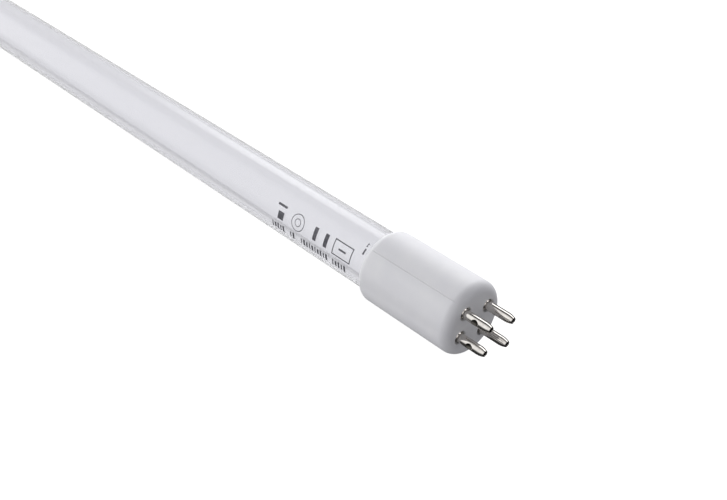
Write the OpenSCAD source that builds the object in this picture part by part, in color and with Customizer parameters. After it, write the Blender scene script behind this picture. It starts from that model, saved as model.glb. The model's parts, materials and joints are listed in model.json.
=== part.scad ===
// Straight germicidal lamp with all four contact pins on one end.
// The origin is the centre of the pin pattern on the base's pin face. The pins point along +X,
// the tube runs back along -X, and +Z is up as the lamp lies on its base and its end cap.

/* [Lamp] */
// Length from the pin face to the closed end of the far cap
lamp_len = 436; // [220:1:900]

/* [Quartz tube] */
// Outside diameter of the tube
tube_d = 15.9; // [14:0.1:20]
// Wall of the tube
tube_wall = 1.1; // [0.8:0.05:1.4]
// Thickness of the flat pressed seal at each end
pinch_th = 3.2; // [2.6:0.1:4]
// Length of the flat pressed seal
pinch_len = 8; // [7.5:0.25:9]
// Length over which the seal opens out to the round tube
shoulder_len = 5; // [4:0.25:6]
// Diameter of the sealed-off exhaust stem on the far shoulder
stem_d = 2.2; // [1.6:0.1:2.6]
// How far the exhaust stem stands off the seal's centre plane
stem_offset = 4.6; // [4:0.1:5]

/* [Pin base and end cap] */
// Wall of the base and of the cap round the tube
base_wall = 1.25; // [1.1:0.05:2]
// Gap round the tube that the cement fills
cement_gap = 0.4; // [0.3:0.05:0.8]
// Length of round tube that the pin base holds
base_grip = 8.5; // [5.5:0.25:18]
// Thickness of the end wall that holds the pins
base_end_wall = 4; // [3:0.25:5]
// Room for the leads between the pin wall and the near seal
base_lead_room = 4.5; // [4:0.25:6]
// Length of round tube that the far cap holds
cap_grip = 4.5; // [3.5:0.25:18]
// Thickness of the far cap's closed end
cap_end_wall = 2.5; // [2:0.25:3]
// Room for the leads between the closed end and the far seal
cap_lead_room = 6; // [5.5:0.25:6.5]
// Radius round the outer edge of each closed end
end_edge_r = 2.5; // [1.2:0.1:2.6]
// Radius round the open rim that the tube comes out of
rim_edge_r = 2.2; // [1.4:0.1:2.4]
// How far the cement stays below the rim
cement_sink = 0.6; // [0.4:0.1:1]
// Width of the fine moulding line along the side
mould_line_w = 0.3; // [0.2:0.05:0.4]
// Height of the moulding line
mould_line_h = 0.06; // [0.04:0.01:0.1]
// Turn of the moulding line from the top, about the lamp's axis
mould_line_turn = -47.4; // [-60:0.1:-30]

/* [Contact pins] */
// Pin spacing across the lamp, along Y
pin_long_pitch = 7.92; // [7:0.01:9]
// Pin spacing up the lamp, along Z
pin_short_pitch = 6.35; // [5.5:0.01:7]
// Length of a pin beyond the pin face
pin_len = 7.6; // [6.5:0.1:9]
// Diameter of a pin
pin_d = 2.35; // [2.2:0.01:2.5]
// Bore of a pin
pin_bore_d = 1.05; // [0.8:0.05:1.1]
// Length of the rounded nose
pin_nose_len = 2; // [1.2:0.1:2.4]
// Diameter of the nose at the very tip
pin_tip_d = 1.55; // [1.4:0.05:1.8]
// Diameter of the collar that seats in the base
collar_d = 3; // [2.7:0.05:3.3]
// Thickness of the collar
collar_h = 0.6; // [0.4:0.05:0.9]
// How far the collar sits below the pin face
collar_sink = 0.2; // [0.1:0.05:0.5]
// Diameter of the counterbore that takes the collar
recess_d = 3.5; // [3.4:0.05:3.8]
// Diameter of the pin where it passes through the end wall
tail_d = 2; // [1.7:0.05:2.1]
// Diameter of the rivet head inside the base
rivet_d = 2.8; // [2.5:0.05:3.2]
// Thickness of the rivet head
rivet_h = 0.5; // [0.3:0.05:0.7]
// Distance of the crimp from the pin face
crimp_at = 3.6; // [3:0.1:4.4]
// Radius of the round punch that makes the crimp
crimp_r = 1.3; // [1:0.05:1.6]
// Depth of the crimp
crimp_depth = 0.42; // [0.2:0.01:0.5]

/* [Electrodes and leads] */
// Distance between the two foils of a seal
foil_pitch = 6.4; // [5.6:0.1:7.4]
// Width of a foil
foil_w = 2; // [1.5:0.1:2.5]
// Thickness of a foil
foil_t = 0.1; // [0.1:0.01:0.14]
// Length of a foil
foil_len = 6; // [5:0.1:6.4]
// Distance from the seal's outer end to the foil
foil_from_end = 1; // [0.5:0.1:1.4]
// Length of a lead's flattened end on its foil
foil_weld = 1.5; // [1:0.1:2]
// Diameter of the posts that carry an electrode coil
post_d = 0.6; // [0.5:0.02:0.66]
// Distance from the shoulder to the electrode's leg
electrode_reach = 5; // [3:0.25:6]
// Diameter of the eye that grips an electrode's leg
eye_d = 1.1; // [0.9:0.05:1.3]
// Length of the eye
eye_len = 0.9; // [0.6:0.05:1.1]
// Diameter of the coated coil's wire
coil_wire_d = 0.3; // [0.2:0.01:0.34]
// Diameter of the electrode coil at the wire's centre
coil_d = 2; // [1.4:0.1:2.4]
// Turns of the electrode coil
coil_turns = 9; // [5:1:10]
// Diameter of the lead wires outside the glass
wire_d = 0.5; // [0.4:0.02:0.56]
// How far a wire runs into its pin beyond the pin face
wire_in_pin = 4.9; // [3:0.1:5.5]
// Bend radius of the wires at their centre line
wire_bend_r = 0.8; // [0.6:0.05:1]
// Slope of the wires between their two bends
wire_slope = 60; // [55:1:65]
// Distance between the two return wires under the tube
return_pitch = 1.2; // [1.1:0.05:1.6]
// Outside diameter of the sleeve on a return wire
sleeve_d = 0.9; // [0.8:0.02:1]
// Bore of the sleeve
sleeve_bore_d = 0.6; // [0.58:0.01:0.68]
// Length of return wire left bare at each end of the sleeve
sleeve_setback = 1; // [0.5:0.1:2]
// Length of the weld between a return wire and a far lead
splice_len = 0.9; // [0.6:0.1:1.2]

/* [Mercury] */
// Diameter of the loose mercury bead
bead_d = 1.6; // [1:0.1:3]
// Distance of the bead from the far end of the lamp
bead_from_end = 106; // [40:1:180]

/* [Hidden] */
$fn = 64;
// Clearance between cemented, welded or loosely fitted faces
fit_gap = 0.02;
// Clearance round the sleeves in the channel under the tube
sleeve_gap = 0.05;
// Overshoot of a cut past the face that it opens
cut = 0.1;
// Distance of the moulding line's ends from the rounded edges
mould_line_setback = 0.3;

tube_r = tube_d / 2;
bore_r = tube_r - tube_wall;
cup_bore_r = tube_r + cement_gap;
cup_r = cup_bore_r + base_wall;
near_seal = base_end_wall + base_lead_room;
far_seal = cap_end_wall + cap_lead_room;
seal_depth = pinch_len + shoulder_len;
base_len = near_seal + seal_depth + base_grip;
cap_len = far_seal + seal_depth + cap_grip;
// The shoulder's curve is drawn this far past the tube's radius, where the round tube cuts it off
shoulder_over = 1;
shoulder_steps = 10;
// Half height of the gas space where it starts, and its distance from the flat seal
throat_half = 0.6;
throat_setback = 0.4;
cement_setback = 0.5;

pin_r = pin_d / 2;
pin_tip_r = pin_tip_d / 2;
// The nose is a short piece of a large circle, which needs more facets
nose_facets = 128;
wire_r = wire_d / 2;
post_r = post_d / 2;
sleeve_r = sleeve_d / 2;
// Share of a wire's radius that is left between its axis and the foil after flattening
flat_share = 0.7;
wire_rise = foil_t / 2 + flat_share * wire_r;
post_rise = foil_t / 2 + flat_share * post_r;
electrode_depth = seal_depth + electrode_reach;
coil_r = coil_d / 2;
coil_wire_r = coil_wire_d / 2;
coil_sides = 6;
coil_steps = 12;
coil_end_gap = 0.3;
wire_sides = 8;
bend_steps = 5;
leg_past_eye = 0.35;
return_rise = -(tube_r + sleeve_gap + sleeve_r);
// Distance from the rivet heads to the first bend of the return wires
return_lead_in = 1;
// Straight stretch of a wire between a bend and the piece that it leaves
wire_lead_in = 0.1;
// Clearance of the far wires' ends from the cap's closed end
wire_end_gap = 0.3;
bead_r = bead_d / 2;
stem_nose_len = 1.6;
stem_nose_d = 0.7;
stem_tip_depth = 7;

// The lamp is drawn standing on its pin face: local x is up, y stays, z is the depth behind the pins.
module lamp() rotate([0, -90, 0]) children();

// A seal is drawn from its outer end inwards, and these put it at either end of the lamp.
module near_end() lamp() translate([0, 0, near_seal]) children();
module far_end() lamp() translate([0, 0, lamp_len - far_seal]) mirror([0, 0, 1]) children();

// Side 1 is at -Y, and side 2 at +Y.
function side_sign(side) = side == 1 ? -1 : 1;
function foil_y(side) = side_sign(side) * foil_pitch / 2;
function pin_y(side) = side_sign(side) * pin_long_pitch / 2;
function return_y(side) = side_sign(side) * return_pitch / 2;

// A round wire as rings of points along a path. Each ring is set out from a direction given for
// its point, which lies roughly square to the path there.
function unit(v) = v / norm(v);
function ring(path, outward, i, r, sides) =
    let (
        last = len(path) - 1,
        along = unit(path[min(i + 1, last)] - path[max(i - 1, 0)]),
        across = unit(cross(along, outward[i])),
        out = cross(across, along)
    )
    [for (k = [0:sides - 1]) path[i] + r * (cos(360 * k / sides) * out + sin(360 * k / sides) * across)];

module sweep(path, outward, r, sides) {
    last = len(path) - 1;
    points = [for (i = [0:last]) each ring(path, outward, i, r, sides)];
    walls = [
        for (i = [0:last - 1], k = [0:sides - 1])
            let (near = i * sides, far = near + sides, next = (k + 1) % sides)
            [near + k, near + next, far + next, far + k]
    ];
    near_face = [for (k = [sides - 1:-1:0]) k];
    far_face = [for (k = [0:sides - 1]) last * sides + k];
    polyhedron(points, concat([near_face], walls, [far_face]));
}

// Quartz tube

function ease(u) = 0.5 - 0.5 * cos(180 * u);

// One side of a seal's outline seen edge on: half heights over depth, from flat to full round.
function seal_curve(start, low, high) = [
    for (i = [0:shoulder_steps])
        let (u = i / shoulder_steps)
        [low + (high - low) * ease(u), start + u * shoulder_len]
];

// Both ends' curves, closed into the outline of the whole tube seen edge on.
function tube_outline(near, far, low, high, setback) =
    let (
        near_side = concat([[low, near]], seal_curve(near + setback, low, high)),
        far_side = concat([[low, far]], seal_curve(-far + setback, low, high))
    )
    concat(
        near_side,
        [for (i = [len(far_side) - 1:-1:1]) [far_side[i].x, -far_side[i].y]],
        [[low, far], [-low, far]],
        [for (i = [1:len(far_side) - 1]) [-far_side[i].x, -far_side[i].y]],
        [for (i = [len(near_side) - 1:-1:0]) [-near_side[i].x, near_side[i].y]]
    );

module pressed_round(r, outline, from, to) {
    intersection() {
        translate([0, 0, from]) cylinder(r = r, h = to - from);
        rotate([90, 0, 0])
            linear_extrude(2 * (tube_r + shoulder_over), center = true) polygon(outline);
    }
}

module exhaust_stem() {
    translate([stem_offset, 0, stem_tip_depth]) {
        cylinder(d1 = stem_nose_d, d2 = stem_d, h = stem_nose_len);
        translate([0, 0, stem_nose_len])
            cylinder(d = stem_d, h = seal_depth - stem_tip_depth - stem_nose_len - cut);
    }
}

// The wires and posts are left round here: what sinks into a foil stays within its thickness.
module seal_passages() {
    for (side = [1, 2]) {
        foil(side);
        translate([wire_rise, foil_y(side), -cut])
            cylinder(r = wire_r, h = foil_from_end + foil_weld + cut);
        round_shank(side);
    }
}

module quartz_tube() {
    near = near_seal;
    far = lamp_len - far_seal;
    throat = pinch_len + throat_setback;
    color([0.87, 0.88, 0.92, 0.5]) difference() {
        union() {
            lamp() pressed_round(
                tube_r,
                tube_outline(near, far, pinch_th / 2, tube_r + shoulder_over, pinch_len),
                near, far
            );
            far_end() exhaust_stem();
        }
        lamp() pressed_round(
            bore_r,
            tube_outline(near + throat, far - throat, throat_half, bore_r + shoulder_over, 0),
            near + throat, far - throat
        );
        near_end() seal_passages();
        far_end() seal_passages();
    }
}

// Pin base, end cap and cement

// The square corner left outside a rounded edge of radius r.
module corner_waste(r) {
    difference() {
        translate([0, -cut]) square([r + cut, r + cut]);
        translate([0, r]) circle(r);
    }
}

module cup_profile(length, end_wall) {
    difference() {
        square([cup_r, length]);
        translate([0, end_wall]) square([cup_bore_r, length]);
        translate([cup_r - end_edge_r, 0]) corner_waste(end_edge_r);
        translate([cup_r - rim_edge_r, length]) mirror([0, 1]) corner_waste(rim_edge_r);
    }
}

// The channel in the bottom of the bore that the return wires pass through.
module wire_channel(from, length, gap) {
    depth = -return_rise + sleeve_r + gap;
    width = return_pitch + sleeve_d + 2 * gap;
    translate([-depth, -width / 2, from]) cube([depth - bore_r, width, length]);
}

module mould_lines(length) {
    from = end_edge_r + mould_line_setback;
    to = length - rim_edge_r - mould_line_setback;
    for (turn = [0, 180])
        rotate([0, 0, mould_line_turn + turn])
            translate([cup_r - base_wall / 2, -mould_line_w / 2, from])
                cube([base_wall / 2 + mould_line_h, mould_line_w, to - from]);
}

module cup(length, end_wall, channel_from) {
    difference() {
        union() {
            rotate_extrude() cup_profile(length, end_wall);
            mould_lines(length);
        }
        wire_channel(channel_from, length, sleeve_gap);
    }
}

module pin_base() {
    color([0.94, 0.94, 0.93]) lamp() difference() {
        cup(base_len, base_end_wall, near_seal);
        for (side = [1, 2], up = [-1, 1])
            translate([up * pin_short_pitch / 2, pin_y(side), 0]) {
                translate([0, 0, -cut]) cylinder(d = tail_d + 2 * fit_gap, h = base_end_wall + 2 * cut);
                translate([0, 0, -cut]) cylinder(d = recess_d, h = collar_sink + collar_h + cut);
            }
    }
}

module end_cap() {
    color([0.94, 0.94, 0.93])
        lamp() translate([0, 0, lamp_len]) mirror([0, 0, 1]) cup(cap_len, cap_end_wall, far_seal);
}

// Cement between the tube and a cup, with the sleeves let through it.
module cement(length, seal) {
    from = seal + seal_depth + cement_setback;
    height = length - cement_sink - from;
    difference() {
        union() {
            translate([0, 0, from]) cylinder(r = cup_bore_r - fit_gap, h = height);
            wire_channel(from, height, sleeve_gap - fit_gap);
        }
        translate([0, 0, from - cut]) cylinder(r = tube_r + fit_gap, h = height + 2 * cut);
        for (side = [1, 2])
            translate([return_rise, return_y(side), from - cut])
                cylinder(r = sleeve_r + fit_gap, h = height + 2 * cut);
    }
}

module base_cement() color([0.86, 0.84, 0.78]) lamp() cement(base_len, near_seal);

module cap_cement() {
    color([0.86, 0.84, 0.78])
        lamp() translate([0, 0, lamp_len]) mirror([0, 0, 1]) cement(cap_len, far_seal);
}

// Contact pins

// The nose is an arc that leaves the shank tangentially and reaches the tip's radius.
function nose_arc_r() =
    let (drop = pin_r - pin_tip_r) (pin_nose_len * pin_nose_len + drop * drop) / (2 * drop);

module pin_profile() {
    shank_from = collar_sink + collar_h;
    nose_from = pin_len - pin_nose_len;
    difference() {
        union() {
            translate([0, -base_end_wall - rivet_h]) square([rivet_d / 2, rivet_h]);
            translate([0, -base_end_wall - rivet_h]) square([tail_d / 2, base_end_wall + rivet_h]);
            translate([0, -shank_from]) square([collar_d / 2, collar_h]);
            translate([0, -shank_from]) square([pin_r, shank_from + nose_from]);
            translate([0, nose_from]) intersection() {
                square([pin_r, pin_nose_len]);
                translate([pin_r - nose_arc_r(), 0]) circle(nose_arc_r(), $fn = nose_facets);
            }
        }
        translate([0, -base_end_wall - rivet_h - cut])
            square([pin_bore_d / 2, base_end_wall + rivet_h + pin_len + 2 * cut]);
    }
}

// A riveted tubular pin, crimped from its outer side.
module contact_pin(side, up) {
    crimp_off = side_sign(side) * (pin_r + crimp_r - crimp_depth);
    color([0.78, 0.77, 0.74])
        translate([0, pin_y(side), up * pin_short_pitch / 2]) difference() {
            rotate([0, 90, 0]) rotate_extrude() pin_profile();
            translate([crimp_at, crimp_off, 0]) sphere(crimp_r);
        }
}

// Electrodes

module foil(side) {
    translate([-foil_t / 2, foil_y(side) - foil_w / 2, foil_from_end]) cube([foil_t, foil_w, foil_len]);
}

// Takes away the stretch of a round lead that would sink into its foil, up to the given depth.
module flattened(side, to, from = 0) {
    difference() {
        children();
        translate([foil_t / 2 - wire_d, foil_y(side) - foil_w / 2, max(foil_from_end, from)])
            cube([wire_d, foil_w, min(foil_from_end + foil_len, to) - max(foil_from_end, from) + fit_gap]);
    }
}

post_from = foil_from_end + foil_len - foil_weld;
module round_shank(side) {
    translate([post_rise, foil_y(side), post_from]) cylinder(r = post_r, h = electrode_depth - post_from);
}
module post_shank(side) flattened(side, electrode_depth, post_from - fit_gap) round_shank(side);

// A post runs from its foil into the gas space and ends in an eye that grips the electrode's leg.
module post(side) {
    difference() {
        union() {
            post_shank(side);
            translate([post_rise, foil_y(side), electrode_depth]) rotate([90, 0, 0])
                cylinder(d = eye_d, h = eye_len, center = true);
        }
        translate([post_rise, foil_y(side), electrode_depth]) rotate([90, 0, 0])
            cylinder(r = coil_wire_r + fit_gap, h = eye_len + 2 * cut, center = true);
    }
}

// The coil's centre line: a straight leg, whole turns behind the legs, and a straight leg.
coil_half = foil_pitch / 2 - eye_len / 2 - coil_end_gap;
leg_half = foil_pitch / 2 + eye_len / 2 + leg_past_eye;
coil_angles = [for (i = [0:coil_turns * coil_steps]) 360 * i / coil_steps];
function coil_point(angle) = [
    post_rise + coil_r * sin(angle),
    -coil_half + 2 * coil_half * angle / (360 * coil_turns),
    electrode_depth + coil_r - coil_r * cos(angle)
];
coil_path = concat(
    [[post_rise, -leg_half, electrode_depth]],
    [for (angle = coil_angles) coil_point(angle)],
    [[post_rise, leg_half, electrode_depth]]
);
coil_outward = [for (angle = concat([0], coil_angles, [0])) [sin(angle), 0, -cos(angle)]];

module filament() sweep(coil_path, coil_outward, coil_wire_r, coil_sides);

module filament_part() color([0.9, 0.88, 0.84]) filament();
module foil_part(side) color([0.6, 0.6, 0.62]) foil(side);
module post_part(side) color([0.7, 0.7, 0.7]) post(side);

// Lead wires

// Two equal bends carry a wire sideways by the given offset while it runs on along z.
function slope_len(offset) = (offset - 2 * wire_bend_r * (1 - cos(wire_slope))) / sin(wire_slope);
function bend_run(offset) = 2 * wire_bend_r * sin(wire_slope) + slope_len(offset) * cos(wire_slope);
function s_bend(from, to, start) =
    let (
        offset = norm(to - from),
        run = bend_run(offset),
        angles = [for (i = [0:bend_steps]) wire_slope * i / bend_steps],
        turn_out = [for (a = angles) wire_bend_r * [1 - cos(a), sin(a)]],
        turn_in = [for (i = [bend_steps:-1:0]) [offset, run] - turn_out[i]]
    )
    [
        for (p = concat(turn_out, turn_in))
            let (at = from + (to - from) * p[0] / offset)
            [at.x, at.y, start + p[1]]
    ];

// The bends lie between planes that hold the z axis, so x is never along the wire.
module bent_wire(path) sweep(path, [for (p = path) [1, 0, 0]], wire_r, wire_sides);

function pin_at(side, up) = [up * pin_short_pitch / 2, pin_y(side)];
function foil_at(side) = [wire_rise, foil_y(side)];
function return_at(side) = [return_rise, return_y(side)];
// A return wire lies beside the far lead that it is welded to
function splice_at(side) = [wire_rise - wire_d - fit_gap, foil_y(side)];

// From an upper pin's bore, back through the pin and over to the near foil on the same side.
module near_lead(side) {
    from = pin_at(side, 1);
    to = foil_at(side);
    bend_start = -wire_lead_in - bend_run(norm(to - from));
    color([0.75, 0.74, 0.7]) near_end() flattened(side, foil_from_end + foil_weld)
        bent_wire(concat(
            [[from.x, from.y, -near_seal - wire_in_pin]],
            s_bend(from, to, bend_start),
            [[to.x, to.y, foil_from_end + foil_weld]]
        ));
}

// A short straight lead out of the far seal.
module far_lead(side) {
    from = wire_end_gap - cap_lead_room;
    to = foil_from_end + foil_weld;
    color([0.75, 0.74, 0.7]) far_end() flattened(side, to)
        translate([wire_rise, foil_y(side), from]) cylinder(r = wire_r, h = to - from);
}

return_bend_start = base_end_wall + rivet_h + return_lead_in;
function return_straight_from(side) =
    return_bend_start + bend_run(norm(return_at(side) - pin_at(side, -1)));
function return_straight_to(side) =
    lamp_len - cap_end_wall - wire_end_gap - splice_len
        - bend_run(norm(splice_at(side) - return_at(side)));

// From a lower pin, down to the channel, along under the tube and up to the far lead.
module return_wire(side) {
    from = pin_at(side, -1);
    to = splice_at(side);
    color([0.75, 0.74, 0.7]) lamp() bent_wire(concat(
        [[from.x, from.y, -wire_in_pin]],
        s_bend(from, return_at(side), return_bend_start),
        s_bend(return_at(side), to, return_straight_to(side)),
        [[to.x, to.y, lamp_len - cap_end_wall - wire_end_gap]]
    ));
}

module return_sleeve(side) {
    from = return_straight_from(side) + sleeve_setback;
    to = return_straight_to(side) - sleeve_setback;
    color([0.93, 0.93, 0.9]) lamp() translate([return_rise, return_y(side), from]) difference() {
        cylinder(r = sleeve_r, h = to - from);
        translate([0, 0, -cut]) cylinder(d = sleeve_bore_d, h = to - from + 2 * cut);
    }
}

module mercury_bead() {
    color([0.8, 0.8, 0.82]) lamp()
        translate([-(bore_r - bead_r - fit_gap), 0, lamp_len - bead_from_end]) sphere(bead_r);
}

quartz_tube();
pin_base();
end_cap();
base_cement();
cap_cement();
contact_pin(1, 1);  // contact_pin_1
contact_pin(2, 1);  // contact_pin_2
contact_pin(2, -1);  // contact_pin_3
contact_pin(1, -1);  // contact_pin_4
near_end() filament_part();  // near_filament
far_end() filament_part();  // far_filament
near_end() post_part(1);  // near_post_1
near_end() post_part(2);  // near_post_2
far_end() post_part(1);  // far_post_1
far_end() post_part(2);  // far_post_2
near_end() foil_part(1);  // near_foil_1
near_end() foil_part(2);  // near_foil_2
far_end() foil_part(1);  // far_foil_1
far_end() foil_part(2);  // far_foil_2
near_lead(1);  // near_lead_1
near_lead(2);  // near_lead_2
far_lead(1);  // far_lead_1
far_lead(2);  // far_lead_2
return_wire(1);  // return_wire_1
return_wire(2);  // return_wire_2
return_sleeve(1);  // return_sleeve_1
return_sleeve(2);  // return_sleeve_2
mercury_bead();
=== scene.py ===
"""Looks of the germicidal lamp: clear tube, white base and cap, plated pins, inner parts and print."""
import json
import math

import bpy
import numpy as np
from mathutils import Matrix, Vector


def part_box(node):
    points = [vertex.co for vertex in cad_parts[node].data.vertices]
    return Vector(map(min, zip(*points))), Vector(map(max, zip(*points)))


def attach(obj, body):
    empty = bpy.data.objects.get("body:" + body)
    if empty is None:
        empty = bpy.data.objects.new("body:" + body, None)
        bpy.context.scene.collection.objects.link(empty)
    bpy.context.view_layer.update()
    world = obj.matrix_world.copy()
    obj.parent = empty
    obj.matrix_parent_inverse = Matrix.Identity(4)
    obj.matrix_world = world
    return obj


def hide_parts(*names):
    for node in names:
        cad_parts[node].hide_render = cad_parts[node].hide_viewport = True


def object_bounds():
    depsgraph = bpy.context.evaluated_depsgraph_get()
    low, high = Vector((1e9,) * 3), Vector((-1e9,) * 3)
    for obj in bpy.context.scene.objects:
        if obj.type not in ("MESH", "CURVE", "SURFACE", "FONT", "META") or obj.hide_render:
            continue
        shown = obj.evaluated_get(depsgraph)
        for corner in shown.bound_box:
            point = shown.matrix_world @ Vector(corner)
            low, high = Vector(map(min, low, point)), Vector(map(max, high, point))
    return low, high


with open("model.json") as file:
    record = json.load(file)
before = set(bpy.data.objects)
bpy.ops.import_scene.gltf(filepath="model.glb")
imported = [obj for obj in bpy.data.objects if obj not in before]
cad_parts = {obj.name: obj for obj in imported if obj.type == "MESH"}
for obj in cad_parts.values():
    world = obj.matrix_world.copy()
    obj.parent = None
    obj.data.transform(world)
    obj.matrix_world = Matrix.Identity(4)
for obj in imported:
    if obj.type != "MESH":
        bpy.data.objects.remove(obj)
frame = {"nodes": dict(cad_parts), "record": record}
cad_low, cad_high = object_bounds()

MM = 0.001

# The photograph's view
CAMERA_AT = (0.12076, -0.18015, 0.12359)
CAMERA_RIGHT = (0.6841, 0.7112, 0.1621)
CAMERA_UP = (-0.4337, 0.2178, 0.8743)
CAMERA_LENS = 53.36

# Sizes of the construction that the smooth pieces repeat
PINCH_HALF = 1.6 * MM
PINCH_LEN = 8 * MM
SHOULDER_LEN = 5 * MM
SHOULDER_OVER = 1 * MM
THROAT_HALF = 0.6 * MM
THROAT_SETBACK = 0.4 * MM
TUBE_WALL = 1.1 * MM
STEM_R = 1.1 * MM
STEM_TIP_R = 0.35 * MM
STEM_OFFSET = 4.6 * MM
STEM_TIP_DEPTH = 7 * MM
STEM_TIP_EDGE = 0.05 * MM
STEM_NOSE = 1.6 * MM
STEM_SHORT_OF_SHOULDER = 2.4 * MM
BASE_END_WALL = 4 * MM
CAP_END_WALL = 2.5 * MM
CUP_WALL = 1.25 * MM
END_EDGE_R = 2.5 * MM
RIM_EDGE_R = 2.2 * MM
RIM_INNER_R = 0.1 * MM
END_FLAT_INSET = 0.3 * MM
MOULD_LINE_H = 0.06 * MM
MOULD_LINE_TURN = math.radians(-47.4)
PIN_PITCH_Y = 7.92 * MM
PIN_PITCH_Z = 6.35 * MM
RECESS_R = 1.75 * MM
RECESS_DEPTH = 0.8 * MM
RECESS_EDGE_R = 0.12 * MM
PIN_HOLE_R = 1.02 * MM
PIN_R = 1.175 * MM
PIN_LEN = 7.6 * MM
PIN_BORE_R = 0.525 * MM
PIN_TIP_R = 0.775 * MM
PIN_NOSE = 2 * MM
COLLAR_R = 1.5 * MM
COLLAR_SINK = 0.2 * MM
COLLAR_H = 0.6 * MM
TAIL_R = 1 * MM
RIVET_R = 1.4 * MM
RIVET_H = 0.5 * MM
CRIMP_AT = 3.6 * MM
CRIMP_R = 1.3 * MM
CRIMP_DEPTH = 0.42 * MM
CRIMP_SOFT = 0.05 * MM
CHANNEL_HALF_WIDTH = 1.1 * MM
CHANNEL_DEPTH = 8.95 * MM

# How far a cutter reaches past the surface that it cuts
CUT_OVER = 1 * MM


# Sizes read from the frame

def reach(node):
    """Radius of a node about the lamp's axis."""
    points = np.array([v.co for v in frame["nodes"][node].data.vertices])
    return float(np.hypot(points[:, 1], points[:, 2]).max())


cup_r = float(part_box("pin_base")[1].y)
tube_r = reach("quartz_tube")
seal_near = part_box("quartz_tube")[1].x
seal_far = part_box("quartz_tube")[0].x


def set_camera():
    right, up = Vector(CAMERA_RIGHT).normalized(), Vector(CAMERA_UP)
    back = right.cross(up).normalized()
    up = back.cross(right)
    camera = bpy.data.objects.new("camera", bpy.data.cameras.new("camera"))
    bpy.context.scene.collection.objects.link(camera)
    turn = Matrix((right, up, back)).transposed().to_4x4()
    camera.matrix_world = Matrix.Translation(CAMERA_AT) @ turn
    camera.data.lens = CAMERA_LENS
    camera.data.clip_start = 0.005
    bpy.context.scene.camera = camera


# Materials

class Shader:
    """A material's node tree, with short ways to add the nodes used here."""

    def __init__(self, name):
        self.material = bpy.data.materials.new(name)
        self.material.use_nodes = True
        self.nodes = self.material.node_tree.nodes
        self.links = self.material.node_tree.links
        self.surface = self.nodes["Principled BSDF"]
        self.place = self.nodes.new("ShaderNodeTexCoord").outputs["Object"]

    def set(self, **values):
        for socket, value in values.items():
            self.surface.inputs[socket.replace("_", " ")].default_value = value
        return self

    def noise(self, scale, detail=3.0, stretch=(1, 1, 1)):
        mapping = self.nodes.new("ShaderNodeMapping")
        mapping.inputs["Scale"].default_value = stretch
        self.links.new(self.place, mapping.inputs["Vector"])
        texture = self.nodes.new("ShaderNodeTexNoise")
        texture.inputs["Scale"].default_value = scale
        texture.inputs["Detail"].default_value = detail
        self.links.new(mapping.outputs["Vector"], texture.inputs["Vector"])
        return texture.outputs["Fac"]

    def ramp(self, value, stops):
        ramp = self.nodes.new("ShaderNodeValToRGB")
        elements = ramp.color_ramp.elements
        while len(elements) < len(stops):
            elements.new(0.5)
        for element, (position, colour) in zip(elements, stops):
            element.position = position
            element.color = (*colour, 1)
        self.links.new(value, ramp.inputs["Fac"])
        return ramp.outputs["Color"]

    def span(self, value, low, high):
        remap = self.nodes.new("ShaderNodeMapRange")
        remap.inputs["To Min"].default_value = low
        remap.inputs["To Max"].default_value = high
        self.links.new(value, remap.inputs["Value"])
        return remap.outputs["Result"]

    def drive(self, socket, output):
        self.links.new(output, self.surface.inputs[socket])
        return self

    def bump(self, height, strength, distance):
        bump = self.nodes.new("ShaderNodeBump")
        bump.inputs["Strength"].default_value = strength
        bump.inputs["Distance"].default_value = distance
        self.links.new(height, bump.inputs["Height"])
        self.links.new(bump.outputs["Normal"], self.surface.inputs["Normal"])
        return self


def ceramic(name, shade=1.0):
    look = Shader(name)
    look.set(IOR=1.5, Specular_IOR_Level=0.35, Coat_Weight=0.04, Coat_Roughness=0.3)
    dark = [tone * shade for tone in (0.78, 0.78, 0.81)]
    light = [tone * shade for tone in (0.82, 0.82, 0.84)]
    look.drive("Base Color", look.ramp(look.noise(160, 4), [(0.35, dark), (0.7, light)]))
    look.drive("Roughness", look.span(look.noise(900, 5), 0.45, 0.6))
    return look.bump(look.noise(2600, 3), 0.12, 0.03 * MM).material


def quartz():
    look = Shader("quartz")
    look.set(IOR=1.458, Transmission_Weight=0.96)
    tints = [(0.3, (0.97, 0.97, 0.985)), (0.75, (0.985, 0.985, 0.995))]
    look.drive("Base Color", look.ramp(look.noise(35, 3, (0.15, 1, 1)), tints))
    look.drive("Roughness", look.span(look.noise(60, 3, (0.1, 1, 1)), 0.07, 0.11))
    return look.bump(look.noise(90, 2, (0.05, 1, 1)), 0.02, 0.05 * MM).material


def plated():
    look = Shader("plated_pin")
    look.set(Metallic=1.0)
    tints = [(0.3, (0.57, 0.545, 0.52)), (0.7, (0.74, 0.715, 0.68))]
    look.drive("Base Color", look.ramp(look.noise(900, 4), tints))
    look.drive("Roughness", look.span(look.noise(1400, 5, (0.3, 1, 1)), 0.04, 0.14))
    return look.bump(look.noise(3500, 4, (0.15, 1, 1)), 0.15, 0.01 * MM).material


def metal(name, dark, light, rough):
    look = Shader(name)
    look.set(Metallic=1.0)
    look.drive("Base Color", look.ramp(look.noise(1200, 4), [(0.3, dark), (0.7, light)]))
    look.drive("Roughness", look.span(look.noise(1800, 4, (0.2, 1, 1)), rough, rough + 0.15))
    return look.bump(look.noise(3000, 3), 0.1, 0.01 * MM).material


def chalky(name, dark, light, grain):
    look = Shader(name)
    look.drive("Base Color", look.ramp(look.noise(grain, 5), [(0.3, dark), (0.7, light)]))
    look.drive("Roughness", look.span(look.noise(grain * 1.5, 3), 0.75, 0.95))
    return look.bump(look.noise(grain * 2, 5), 0.5, 0.04 * MM).material


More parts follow.
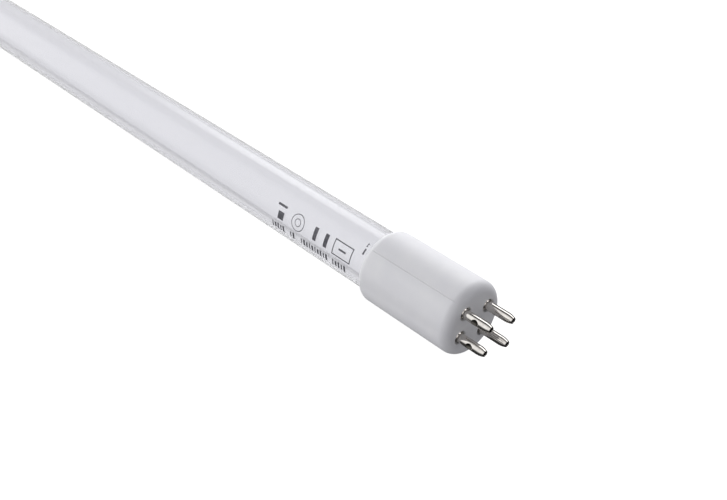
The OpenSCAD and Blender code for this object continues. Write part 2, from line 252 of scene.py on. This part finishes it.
def sleeving():
    look = Shader("sleeving")
    look.set(IOR=1.06, Transmission_Weight=1.0)
    tints = [(0.3, (0.98, 0.98, 0.98)), (0.7, (1.0, 1.0, 1.0))]
    look.drive("Base Color", look.ramp(look.noise(400, 3, (0.2, 1, 1)), tints))
    look.drive("Roughness", look.span(look.noise(900, 3), 0.02, 0.06))
    return look.bump(look.noise(1500, 3), 0.2, 0.02 * MM).material


def ink():
    look = Shader("ink")
    tints = [(0.35, (0.035, 0.035, 0.045)), (0.75, (0.13, 0.13, 0.15))]
    look.drive("Base Color", look.ramp(look.noise(1500, 4), tints))
    look.drive("Roughness", look.span(look.noise(2500, 3), 0.35, 0.6))
    return look.material


def floor_paint():
    look = Shader("floor_paint")
    look.set(Specular_IOR_Level=0.1, Emission_Color=(1, 1, 1, 1), Emission_Strength=0.92)
    tints = [(0.3, (0.24, 0.24, 0.24)), (0.7, (0.28, 0.28, 0.28))]
    look.drive("Base Color", look.ramp(look.noise(3, 2), tints))
    look.drive("Roughness", look.span(look.noise(20, 2), 0.7, 0.8))
    return look.material


# Mesh building

# A point nearer to the axis than this lies on it
ON_AXIS = 1e-9


def mesh_object(name, points, faces):
    """A new mesh object in the scene."""
    mesh = bpy.data.meshes.new(name)
    mesh.from_pydata([tuple(p) for p in points], [], faces)
    mesh.validate()
    obj = bpy.data.objects.new(name, mesh)
    bpy.context.scene.collection.objects.link(obj)
    return obj


def smooth(mesh):
    mesh.polygons.foreach_set("use_smooth", [True] * len(mesh.polygons))


def piece(name, points, faces, material, replaces=()):
    """A mesh object that rides on the lamp."""
    obj = mesh_object(name, points, faces)
    smooth(obj.data)
    obj.data.materials.append(material)
    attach(obj, "root")
    if replaces:
        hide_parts(*replaces)
    return obj


def sharpen(obj, degrees=32):
    """Splits the shading at edges steeper than this, and leaves the shape as it is."""
    obj.data.set_sharp_from_angle(angle=math.radians(degrees))


def arc(centre, radius, start, end, steps):
    """Points (x, r) on an arc, angles in degrees from +x towards +r."""
    turns = np.radians(np.linspace(start, end, steps + 1))
    return [(centre[0] + radius * math.cos(a), centre[1] + radius * math.sin(a)) for a in turns]


def even_turns(count):
    return [2 * math.pi * k / count for k in range(count)]


def revolve(profile, turns, closed=False, bulge=None):
    """Spins (x, r) points about the X axis. bulge(turn, x, r) gives a length to add to the radius."""
    segments = len(turns)
    points, rings = [], []
    for x, r in profile:
        if r < ON_AXIS:
            rings.append([len(points)] * segments)
            points.append((x, 0, 0))
            continue
        rings.append(list(range(len(points), len(points) + segments)))
        for turn in turns:
            radius = r + (bulge(turn, x, r) if bulge else 0)
            points.append((x, radius * math.sin(turn), radius * math.cos(turn)))
    if closed:
        rings.append(rings[0])
    faces = []
    for near, far in zip(rings, rings[1:]):
        for k in range(segments):
            n = (k + 1) % segments
            corners = [near[k], near[n], far[n], far[k]]
            faces.append(tuple(dict.fromkeys(corners)))
    return points, faces


def moved(points, by):
    return [(p[0] + by[0], p[1] + by[1], p[2] + by[2]) for p in points]


def joined(parts):
    """Several meshes, each a list of points and one of faces, as one."""
    points, faces = [], []
    for part_points, part_faces in parts:
        shift = len(points)
        points += part_points
        faces += [tuple(i + shift for i in face) for face in part_faces]
    return points, faces


def cut_with(obj, cutters):
    """Cuts the cutters' solids out of obj, for good."""
    for cutter in cutters:
        modifier = obj.modifiers.new("cut", "BOOLEAN")
        modifier.operation = "DIFFERENCE"
        modifier.solver = "EXACT"
        modifier.object = cutter
    graph = bpy.context.evaluated_depsgraph_get()
    made = bpy.data.meshes.new_from_object(obj.evaluated_get(graph))
    obj.modifiers.clear()
    obj.data = made
    for cutter in cutters:
        bpy.data.objects.remove(cutter)


# Ceramic base and cap

CUP_SEGMENTS = 192
CUP_EDGE_STEPS = 16
HOLE_SEGMENTS = 72
MOULD_LINE_HALF = 0.15 * MM
MOULD_LINE_TOP_HALF = 0.09 * MM

# The outer wall is what lies less than this below the outer radius
OUTER_SKIN = 0.05 * MM


def from_mould_line(turn):
    """Distance round the wall from the nearer of the two moulding lines."""
    aside = (turn - MOULD_LINE_TURN) % math.pi
    return min(aside, math.pi - aside) * cup_r


def cup_turns():
    """Even steps round the wall, with four of their own for each moulding line."""
    turns = [turn for turn in even_turns(CUP_SEGMENTS) if from_mould_line(turn) > 2 * MOULD_LINE_HALF]
    for side in (MOULD_LINE_TURN % math.pi, MOULD_LINE_TURN % math.pi + math.pi):
        for half in (MOULD_LINE_HALF, MOULD_LINE_TOP_HALF):
            turns += [side - half / cup_r, side + half / cup_r]
    return sorted(turns)


def mould_line(turn, x, r):
    """The fine raised line on two sides of the outer wall."""
    crest_half = (MOULD_LINE_HALF + MOULD_LINE_TOP_HALF) / 2
    on_line = r > cup_r - OUTER_SKIN and from_mould_line(turn) < crest_half
    return MOULD_LINE_H if on_line else 0


def paint_mould_line_shade(obj, material):
    """Paints the moulding lines' faces with a darker copy of the ceramic: painted shade along the raised
    line.
    """
    obj.data.materials.append(material)
    for face in obj.data.polygons:
        _, y, z = face.center
        on_wall = math.hypot(y, z) > cup_r - OUTER_SKIN
        if on_wall and from_mould_line(math.atan2(y, z)) < MOULD_LINE_HALF:
            face.material_index = 1


def cup_profile(length, end_wall):
    """Closed end at x = 0, and the rim's arc meets the bore at x = -length."""
    bore_r = cup_r - CUP_WALL
    rise = bore_r - (cup_r - RIM_EDGE_R)
    arc_at = -length + math.sqrt(RIM_EDGE_R ** 2 - rise ** 2)
    arc_start = 180 - math.degrees(math.asin((rise + RIM_INNER_R) / RIM_EDGE_R))
    return (
        [(-end_wall, 0), (-end_wall, bore_r * 0.5), (-end_wall, bore_r), (-length * 0.5, bore_r)]
        + [(-length + RIM_INNER_R, bore_r)]
        + arc((arc_at, cup_r - RIM_EDGE_R), RIM_EDGE_R, arc_start, 90, CUP_EDGE_STEPS)
        + [(-length * share, cup_r) for share in (0.8, 0.6, 0.4, 0.2)]
        + arc((-END_EDGE_R, cup_r - END_EDGE_R), END_EDGE_R, 90, 0, CUP_EDGE_STEPS)
        + [(0, cup_r - END_EDGE_R - END_FLAT_INSET), (0, cup_r * 0.4), (0, 0)]
    )


def channel_cutter(start, end):
    """Box along the bottom of the bore, for the return wires."""
    low, high = min(start, end), max(start, end)
    inner = cup_r - CUP_WALL - CUT_OVER
    sides = (-CHANNEL_HALF_WIDTH, CHANNEL_HALF_WIDTH)
    corners = [(x, y, z) for x in (low, high) for y in sides for z in (-CHANNEL_DEPTH, -inner)]
    faces = [(0, 1, 3, 2), (4, 6, 7, 5), (0, 4, 5, 1), (2, 3, 7, 6), (0, 2, 6, 4), (1, 5, 7, 3)]
    return mesh_object("channel", corners, faces)


def pin_places():
    """Each pin's node with the middle of the pin, across (Y) and up (Z)."""
    across, up = PIN_PITCH_Y / 2, PIN_PITCH_Z / 2
    return {
        "contact_pin_1": (-across, up),
        "contact_pin_2": (across, up),
        "contact_pin_3": (across, -up),
        "contact_pin_4": (-across, -up),
    }


def pin_hole_cutter(y, z):
    """Stepped hole with a softened mouth."""
    mouth_r = RECESS_R + RECESS_EDGE_R
    inside = -BASE_END_WALL - CUT_OVER
    profile = (
        [(CUT_OVER, 0), (CUT_OVER, mouth_r)]
        + arc((-RECESS_EDGE_R, mouth_r), RECESS_EDGE_R, 0, -90, 4)
        + [(-RECESS_DEPTH, RECESS_R), (-RECESS_DEPTH, PIN_HOLE_R), (inside, PIN_HOLE_R), (inside, 0)]
    )
    points, faces = revolve(profile, even_turns(HOLE_SEGMENTS))
    return mesh_object("pin_hole", moved(points, (0, y, z)), faces)


def make_base(material, painted_mould_line_shade):
    rim_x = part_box("pin_base")[0].x
    points, faces = revolve(cup_profile(-rim_x, BASE_END_WALL), cup_turns(), bulge=mould_line)
    base = piece("base_shell", points, faces, material, ["pin_base"])
    holes = [pin_hole_cutter(y, z) for y, z in pin_places().values()]
    cut_with(base, holes + [channel_cutter(seal_near, rim_x - CUT_OVER)])
    paint_mould_line_shade(base, painted_mould_line_shade)
    sharpen(base)


def make_cap(material, painted_mould_line_shade):
    low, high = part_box("end_cap")
    points, faces = revolve(cup_profile(high.x - low.x, CAP_END_WALL), cup_turns(), bulge=mould_line)
    points = [(low.x - x, y, z) for x, y, z in points]
    faces = [tuple(reversed(face)) for face in faces]
    cap = piece("cap_shell", points, faces, material, ["end_cap"])
    cut_with(cap, [channel_cutter(seal_far, high.x + CUT_OVER)])
    paint_mould_line_shade(cap, painted_mould_line_shade)
    sharpen(cap)


# Quartz tube

TUBE_SEGMENTS = 288
SHOULDER_STEPS = 24
MIDDLE_STEPS = 12
STEM_SEGMENTS = 32


def ease(u):
    """Rises from 0 to 1 without a corner at either end."""
    return 0.5 - 0.5 * math.cos(math.pi * u)


def pressed_ring(x, r, half):
    """A circle of radius r, cut off by two flats at plus and minus half."""
    ring = []
    for k in range(TUBE_SEGMENTS):
        turn = 2 * math.pi * (k + 0.5) / TUBE_SEGMENTS
        y, z = r * math.sin(turn), r * math.cos(turn)
        ring.append((x, y, max(-half, min(half, z))))
    return ring


def shell(r, pressed, opened, start, end, flat):
    """A tube from x = start down to x = end. At each end, half its height grows from pressed to opened."""
    shoulder = [i / SHOULDER_STEPS for i in range(SHOULDER_STEPS + 1)]
    depths = [0.0] + [flat + SHOULDER_LEN * u for u in shoulder]
    halves = [pressed] + [pressed + (opened - pressed) * ease(u) for u in shoulder]
    rings = [pressed_ring(start - depth, r, min(half, r)) for depth, half in zip(depths, halves)]
    round_from = start - flat - SHOULDER_LEN
    round_to = end + flat + SHOULDER_LEN
    for i in range(1, MIDDLE_STEPS):
        rings.append(pressed_ring(round_from + (round_to - round_from) * i / MIDDLE_STEPS, r, r))
    for depth, half in zip(reversed(depths), reversed(halves)):
        rings.append(pressed_ring(end + depth, r, min(half, r)))
    points = [p for ring in rings for p in ring]
    faces = []
    for near in range(0, len(points) - TUBE_SEGMENTS, TUBE_SEGMENTS):
        far = near + TUBE_SEGMENTS
        for k in range(TUBE_SEGMENTS):
            n = (k + 1) % TUBE_SEGMENTS
            faces.append((near + k, near + n, far + n, far + k))
    faces.append(tuple(reversed(range(TUBE_SEGMENTS))))
    faces.append(tuple(range(len(points) - TUBE_SEGMENTS, len(points))))
    return points, faces


def make_tube(material):
    outside = shell(tube_r, PINCH_HALF, tube_r + SHOULDER_OVER, seal_near, seal_far, PINCH_LEN)
    throat = PINCH_LEN + THROAT_SETBACK
    bore_r = tube_r - TUBE_WALL
    bore_points, bore_faces = shell(
        bore_r, THROAT_HALF, bore_r + SHOULDER_OVER, seal_near - throat, seal_far + throat, 0
    )
    inside = (bore_points, [tuple(reversed(face)) for face in bore_faces])
    stem_end = PINCH_LEN + SHOULDER_LEN - STEM_SHORT_OF_SHOULDER
    stem_profile = [
        (STEM_TIP_DEPTH, 0),
        (STEM_TIP_DEPTH + STEM_TIP_EDGE, STEM_TIP_R),
        (STEM_TIP_DEPTH + STEM_NOSE, STEM_R),
        (stem_end, STEM_R),
        (stem_end, 0),
    ]
    stem_points, stem_faces = revolve(stem_profile, even_turns(STEM_SEGMENTS))
    stem = (moved(stem_points, (seal_far, 0, STEM_OFFSET)), stem_faces)
    points, faces = joined([outside, inside, stem])
    tube = piece("tube_glass", points, faces, material, ["quartz_tube"])
    sharpen(tube, degrees=50)


# Contact pins

PIN_SEGMENTS = 96
PIN_EDGE = 0.08 * MM
CRIMP_STEPS = 48
NOSE_STEPS = 14

# The punch moves only what lies less than this below the shank's outside
SHANK_SKIN = 0.3 * MM

# Punched faces lie deeper than this, and farther than this from the bore
PUNCHED_SKIN = 0.02 * MM
BORE_SKIN = 0.1 * MM


def soft_min(a, b, soft):
    """The smaller of two values, with the corner between them rounded."""
    blend = max(soft - abs(a - b), 0) / soft
    return min(a, b) - blend * blend * soft / 4


def crimp(turn, x, r):
    """The change of radius where the round punch pressed the shank, on the side that faces +Y."""
    if r < PIN_R - SHANK_SKIN or abs(x - CRIMP_AT) > CRIMP_R:
        return 0
    centre = PIN_R + CRIMP_R - CRIMP_DEPTH
    across, up = math.sin(turn), math.cos(turn)
    out_of_line = (x - CRIMP_AT) ** 2 + (centre * up) ** 2
    if out_of_line >= CRIMP_R ** 2 or across < 0:
        return 0
    punched = centre * across - math.sqrt(CRIMP_R ** 2 - out_of_line)
    return soft_min(r, punched, CRIMP_SOFT) - r


def pin_profile():
    back = -BASE_END_WALL - RIVET_H
    edge = PIN_EDGE
    collar_back = -COLLAR_SINK - COLLAR_H
    drop = PIN_R - PIN_TIP_R
    nose_r = (PIN_NOSE ** 2 + drop ** 2) / (2 * drop)
    nose_from = PIN_LEN - PIN_NOSE
    nose = [
        (nose_from + u, PIN_R - nose_r + math.sqrt(nose_r ** 2 - u ** 2))
        for u in np.linspace(0, PIN_NOSE - edge, NOSE_STEPS + 1)
    ]
    tip_r = nose[-1][1]
    shank = [(-COLLAR_SINK + edge, PIN_R), (1 * MM, PIN_R)]
    shank += [(x, PIN_R) for x in np.linspace(CRIMP_AT - CRIMP_R, CRIMP_AT + CRIMP_R, CRIMP_STEPS + 1)]
    return (
        [(back, PIN_BORE_R), (back, RIVET_R - edge), (back + edge, RIVET_R), (-BASE_END_WALL, RIVET_R)]
        + [(-BASE_END_WALL, TAIL_R), (collar_back, TAIL_R), (collar_back, COLLAR_R)]
        + arc((-COLLAR_SINK - 2 * edge, COLLAR_R - 2 * edge), 2 * edge, 90, 0, 6)
        + [(-COLLAR_SINK, PIN_R + edge)]
        + shank + nose
        + arc((PIN_LEN - edge, tip_r - edge), edge, 70, 0, 4)
        + [(PIN_LEN, PIN_BORE_R + 0.5 * edge), (PIN_LEN - 0.5 * edge, PIN_BORE_R), (0, PIN_BORE_R)]
    )


def paint_crimp_shade(pin, middle_y, middle_z, material):
    """Paints the punched faces with a near-black metal: painted shade in the crimp's dent."""
    pin.data.materials.append(material)
    for face in pin.data.polygons:
        x, y, z = face.center
        off_axis = math.hypot(y - middle_y, z - middle_z)
        pushed_in = PIN_BORE_R + BORE_SKIN < off_axis < PIN_R - PUNCHED_SKIN
        if pushed_in and abs(x - CRIMP_AT) < CRIMP_R:
            face.material_index = 1


def make_pins(material, punched):
    for node, (y, z) in pin_places().items():
        points, faces = revolve(pin_profile(), even_turns(PIN_SEGMENTS), closed=True, bulge=crimp)
        # The crimped sides face outwards, away from the lamp's middle
        if y < 0:
            points = [(x, -across, up) for x, across, up in points]
        else:
            faces = [tuple(reversed(face)) for face in faces]
        pin = piece("pin_" + node[-1], moved(points, (0, y, z)), faces, material, [node])
        paint_crimp_shade(pin, y, z, punched)
        sharpen(pin, degrees=40)


# Electrode coils and the sleeves under the tube

COIL_RISE = 0.26 * MM
COIL_R = 1 * MM
COIL_WIRE_R = 0.15 * MM
COIL_HALF = 2.45 * MM
COIL_LEG_HALF = 4 * MM
COIL_DEPTH = 18 * MM
COIL_TURNS = 9
COIL_STEPS = 36
COIL_BEND = 0.3 * MM
COIL_BEND_STEPS = 6
COIL_SIDES = 12
SLEEVE_R = 0.45 * MM
SLEEVE_BORE_R = 0.3 * MM
SLEEVE_EDGE = 0.05 * MM
SLEEVE_RINGS = 40
SLEEVE_SEGMENTS = 32


def swept(path, radius, sides):
    """A round bar along a path, closed at both ends."""
    path = [Vector(p) for p in path]
    last = len(path) - 1
    points, faces = [], []
    side = (path[1] - path[0]).orthogonal()
    for i, at in enumerate(path):
        along = (path[min(i + 1, last)] - path[max(i - 1, 0)]).normalized()
        side = (side - along * side.dot(along)).normalized()
        across = along.cross(side)
        for turn in even_turns(sides):
            points.append(at + radius * (math.cos(turn) * side + math.sin(turn) * across))
    for start in range(0, last * sides, sides):
        for k in range(sides):
            n = (k + 1) % sides
            faces.append((start + k, start + n, start + sides + n, start + sides + k))
    faces += [tuple(reversed(range(sides))), tuple(range(last * sides, (last + 1) * sides))]
    return points, faces


def coil_path():
    """Leg, turns and leg as points (depth, y, z), depth measured from the seal's outer end."""
    def at(turns):
        angle = 2 * math.pi * turns
        y = COIL_HALF * (2 * turns / COIL_TURNS - 1)
        depth = COIL_DEPTH + COIL_R - COIL_R * math.cos(angle)
        return Vector((depth, y, COIL_RISE + COIL_R * math.sin(angle)))

    first = COIL_BEND / (2 * math.pi * COIL_R)
    corner, after = at(0), at(first)
    before = corner - Vector((0, COIL_BEND, 0))
    leg = [Vector((COIL_DEPTH, -COIL_LEG_HALF, COIL_RISE))]
    for u in (i / COIL_BEND_STEPS for i in range(COIL_BEND_STEPS + 1)):
        leg.append(before.lerp(corner, u).lerp(corner.lerp(after, u), u))
    count = COIL_TURNS * COIL_STEPS
    turns = [at(first + (COIL_TURNS - 2 * first) * i / count) for i in range(1, count)]
    # Half a turn about its middle brings the coil onto itself, so the second leg is the first one turned
    back = [Vector((p.x, -p.y, 2 * COIL_RISE - p.z)) for p in reversed(leg)]
    return leg + turns + back


def make_coils(material):
    path = coil_path()
    for end, seal, way in (("near", seal_near, -1), ("far", seal_far, 1)):
        points, faces = swept([(seal + way * p.x, p.y, p.z) for p in path], COIL_WIRE_R, COIL_SIDES)
        coil = piece("coil_" + end, points, faces, material, [end + "_filament"])
        sharpen(coil)


def make_sleeves(material):
    for number in "12":
        node = "return_sleeve_" + number
        low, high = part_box(node)
        places = np.linspace(low.x + SLEEVE_EDGE, high.x - SLEEVE_EDGE, SLEEVE_RINGS)
        profile = [(low.x, SLEEVE_BORE_R), (low.x, SLEEVE_R - SLEEVE_EDGE)]
        profile += [(x, SLEEVE_R) for x in places]
        profile += [(high.x, SLEEVE_R - SLEEVE_EDGE), (high.x, SLEEVE_BORE_R)]
        points, faces = revolve(profile[::-1], even_turns(SLEEVE_SEGMENTS), closed=True)
        middle = (0, (low.y + high.y) / 2, (low.z + high.z) / 2)
        sleeve = piece("sleeve_" + number, moved(points, middle), faces, material, [node])
        sharpen(sleeve)


# Print on the tube: plain bars, rings and an open frame in the places of the real print

PRINT_LIFT = 0.012 * MM

# Where the rows of marks lie: degrees from the camera's side (-Y) up towards the top
SYMBOLS_AT = 13.5
SMALL_BARS_AT = -17.6
UPPER_BAR_AT = 34.4

# Depths from the pin face, and the length of a bar's steps, in mm
FRAME_MARK_DEPTH = 37.3
RING_MARK_DEPTH = 54.0
BAR_STEP = 0.5


def on_tube(depth, turn):
    """A point on the tube's surface. turn runs from the camera's side (-Y) up towards the top."""
    r = tube_r + PRINT_LIFT
    return (-depth, -r * math.cos(turn), r * math.sin(turn))


def side_at(degrees):
    """Turns an angle from the camera's side into mm round the tube."""
    return math.radians(degrees) * tube_r / MM


def patch(columns):
    """A strip over the tube, from columns of depth, low side and high side, all in mm."""
    points, faces = [], []
    steps = 6
    for depth, low, high in columns:
        for i in range(steps + 1):
            side = low + (high - low) * i / steps
            points.append(on_tube(depth * MM, side * MM / tube_r))
    width = steps + 1
    for c in range(len(columns) - 1):
        for i in range(steps):
            a = c * width + i
            faces.append((a, a + 1, a + width + 1, a + width))
    return points, faces


def bar(depth, side, length, width):
    """A solid bar: its centre, its length along the tube and its width round it."""
    steps = max(2, int(length / BAR_STEP))
    depths = [depth + length * (i / steps - 0.5) for i in range(steps + 1)]
    return patch([(at, side - width / 2, side + width / 2) for at in depths])


def ring_mark(depth, side, outer_r, line):
    """A ring drawn with a line of this width."""
    points, faces = [], []
    segments = 48
    for k in range(segments):
        turn = 2 * math.pi * k / segments
        for r in (outer_r - line, outer_r):
            along, aside = depth + r * math.cos(turn), side + r * math.sin(turn)
            points.append(on_tube(along * MM, aside * MM / tube_r))
    for k in range(segments):
        n = (k + 1) % segments
        faces.append((2 * k, 2 * k + 1, 2 * n + 1, 2 * n))
    return points, faces


def frame_mark(depth, side, length, width, line):
    """An open rectangle drawn with a thin line."""
    return [
        bar(depth, side + (width - line) / 2, length, line),
        bar(depth, side - (width - line) / 2, length, line),
        bar(depth - (length - line) / 2, side, line, width - 2 * line),
        bar(depth + (length - line) / 2, side, line, width - 2 * line),
    ]


def small_bars():
    """Groups of small bars in the place of the line of text."""
    pitch = 1.05
    lengths = (0.7, 0.45, 0.6, 0.7, 0.4)
    widths = (1.9, 1.6, 1.9, 1.5)
    bars = []
    for start, end in ((35.2, 40.8), (41.9, 52.5), (54.5, 57.5), (58.5, 64.8)):
        for i in range(int((end - start) / pitch)):
            length, width = lengths[i % len(lengths)], widths[i % len(widths)]
            bars.append(bar(start + pitch * (i + 0.5), side_at(SMALL_BARS_AT), length, width))
    return bars


def make_print(material):
    """Every mark in mm: its depth from the pin face, its side, and its size along and round the tube."""
    side = side_at(SYMBOLS_AT)
    marks = frame_mark(FRAME_MARK_DEPTH, side, length=6.6, width=4.2, line=0.3)
    marks += [bar(FRAME_MARK_DEPTH, side, length=2.6, width=0.5)]
    marks += [bar(depth, side, length=1.3, width=3.6) for depth in (43.3, 47.3)]
    marks += [ring_mark(RING_MARK_DEPTH, side, outer_r=2.35, line=0.22)]
    marks += [ring_mark(RING_MARK_DEPTH, side, outer_r=1.1, line=0.2)]
    marks += [bar(60.4, side - 0.9, length=2.2, width=2.2)]
    marks += [bar(60.8, side + 1.8, length=3.4, width=0.6)]
    marks += small_bars()
    marks += [bar(31.2, side_at(UPPER_BAR_AT), length=0.5, width=1.6)]
    marks += [bar(31.4, dot_side, length=0.4, width=0.4) for dot_side in (6.3, 6.9)]
    points, faces = joined(marks)
    piece("tube_print", points, faces, material)


# Stage

FLOOR_HALF = 3.0
LIGHTS_AIM = (-0.05, 0, 0)

# The world's tones for matt surfaces, for rays that came through glass and for the camera
AMBIENT = (0.33, 0.33, 0.34, 1)
SEEN_THROUGH_GLASS = (0.785, 0.785, 0.815, 1)
BACKDROP = (1, 1, 1, 1)


def make_floor(material):
    half, z = FLOOR_HALF, cad_low.z
    corners = [(-half, -half, z), (half, -half, z), (half, half, z), (-half, half, z)]
    floor = mesh_object("floor", corners, [(0, 1, 2, 3)])
    floor.data.materials.append(material)
    # Only the camera sees the floor, so its glow lights nothing
    floor.visible_diffuse = False
    floor.visible_glossy = False
    floor.visible_transmission = False


def area_light(name, at, size, power):
    """A soft light that shapes the matt surfaces. Shiny ones mirror the world instead."""
    light = bpy.data.lights.new(name, "AREA")
    light.shape = "RECTANGLE"
    light.size, light.size_y = size
    light.energy = power
    obj = bpy.data.objects.new(name, light)
    aim = (Vector(LIGHTS_AIM) - Vector(at)).to_track_quat("-Z", "Y")
    obj.matrix_world = Matrix.Translation(at) @ aim.to_matrix().to_4x4()
    obj.visible_transmission = False
    obj.visible_glossy = False
    bpy.context.scene.collection.objects.link(obj)


class Studio:
    """The world's node tree: what matt, shiny and clear surfaces see round the lamp."""

    def __init__(self):
        world = bpy.data.worlds.new("studio")
        bpy.context.scene.world = world
        world.use_nodes = True
        self.nodes, self.links = world.node_tree.nodes, world.node_tree.links
        self.direction = self.nodes.new("ShaderNodeTexCoord").outputs["Generated"]
        self.rays = self.nodes.new("ShaderNodeLightPath").outputs

    def vector(self, operation, a, b=None):
        node = self.nodes.new("ShaderNodeVectorMath")
        node.operation = operation
        self.links.new(a, node.inputs[0])
        if b:
            node.inputs[1].default_value = b
        return node.outputs["Value" if operation == "DOT_PRODUCT" else "Vector"]

    def soft_step(self, value, start, full, low, high):
        step = self.nodes.new("ShaderNodeMapRange")
        step.interpolation_type = "SMOOTHSTEP"
        for socket, number in (("From Min", start), ("From Max", full), ("To Min", low), ("To Max", high)):
            step.inputs[socket].default_value = number
        self.links.new(value, step.inputs["Value"])
        return step.outputs["Result"]

    def maths(self, operation, a, b):
        node = self.nodes.new("ShaderNodeMath")
        node.operation = operation
        self.links.new(a, node.inputs[0])
        self.links.new(b, node.inputs[1])
        return node.outputs["Value"]

    def long_panel(self, angle, edge, core, strength):
        """A soft strip of light along the lamp. The angle runs from the front (-Y) up towards the top.

        The light is full within core degrees of it and gone at edge degrees."""
        turn = math.radians(angle)
        aside = self.vector("NORMALIZE", self.vector("MULTIPLY", self.direction, (0, 1, 1)))
        match = self.vector("DOT_PRODUCT", aside, (0, -math.cos(turn), math.sin(turn)))
        start, full = math.cos(math.radians(edge)), math.cos(math.radians(core))
        return self.soft_step(match, start, full, 0, strength)

    def mirrored(self):
        """Light behind the far end, a wide strip in front and a narrow one above.

        The narrow one fades towards the far end."""
        away = self.vector("DOT_PRODUCT", self.direction, (-1, 0, 0))
        far_end = self.soft_step(away, start=0.52, full=0.60, low=0.05, high=0.85)
        front = self.long_panel(angle=26, edge=60, core=15, strength=1.2)
        above = self.long_panel(angle=125, edge=22, core=6, strength=2.4)
        fade = self.soft_step(away, start=0.80, full=0.66, low=0, high=1)
        top = self.maths("MULTIPLY", above, fade)
        return self.maths("ADD", self.maths("ADD", far_end, front), top)

    def show_to(self, ray, tone, otherwise):
        """Gives one kind of ray a tone of its own. A tone is a colour or a node's output."""
        mix = self.nodes.new("ShaderNodeMix")
        mix.data_type = "RGBA"
        mix.clamp_factor = True
        self.links.new(self.rays[ray], mix.inputs["Factor"])
        for socket, value in (("A", otherwise), ("B", tone)):
            if isinstance(value, tuple):
                mix.inputs[socket].default_value = value
            else:
                self.links.new(value, mix.inputs[socket])
        return mix.outputs["Result"]


def set_lights():
    studio = Studio()
    tone = studio.show_to("Is Glossy Ray", studio.mirrored(), AMBIENT)
    tone = studio.show_to("Transmission Depth", SEEN_THROUGH_GLASS, tone)
    tone = studio.show_to("Is Camera Ray", BACKDROP, tone)
    studio.links.new(tone, studio.nodes["Background"].inputs["Color"])
    area_light("behind", at=(-0.5, 0.72, 0.51), size=(1.6, 0.9), power=16.5)
    area_light("front_left", at=(-0.55, -0.8, 0.08), size=(2.2, 0.8), power=10)
    bpy.context.scene.view_settings.view_transform = "Standard"


set_camera()
set_lights()
make_floor(floor_paint())
white = ceramic("white_ceramic")
# A darker copy of the ceramic for the moulding lines: painted shade along the raised line
painted_mould_line_shade = ceramic("ceramic_painted_mould_line_shade", shade=0.87)
make_base(white, painted_mould_line_shade)
make_cap(white, painted_mould_line_shade)
make_tube(quartz())
# Near-black metal for the crimp's punched faces: painted shade in the dent
punched = metal("crimp_painted_shade", (0.045, 0.04, 0.035), (0.10, 0.095, 0.085), 0.3)
make_pins(plated(), punched)
make_coils(chalky("coated_coil", (0.70, 0.69, 0.66), (0.86, 0.85, 0.82), 2500))
make_sleeves(sleeving())
make_print(ink())

finishes = {
    "cement": chalky("cement", (0.62, 0.6, 0.55), (0.76, 0.74, 0.68), 900),
    "nickel": metal("nickel", (0.5, 0.49, 0.47), (0.66, 0.65, 0.63), 0.25),
    "foil": metal("foil", (0.34, 0.34, 0.36), (0.46, 0.46, 0.48), 0.3),
    "mercury": metal("mercury", (0.78, 0.78, 0.8), (0.86, 0.86, 0.88), 0.02),
}
tinned = metal("tinned", (0.80, 0.80, 0.79), (0.90, 0.90, 0.89), 0.3)
for row in frame["record"]["subparts"]:
    if row["material_slot"] in finishes:
        is_return_wire = row["node"].startswith("return_wire")
        finish = tinned if is_return_wire else finishes[row["material_slot"]]
        node = frame["nodes"][row["node"]]
        node.data.materials.clear()
        node.data.materials.append(finish)
        smooth(node.data)
        sharpen(node)
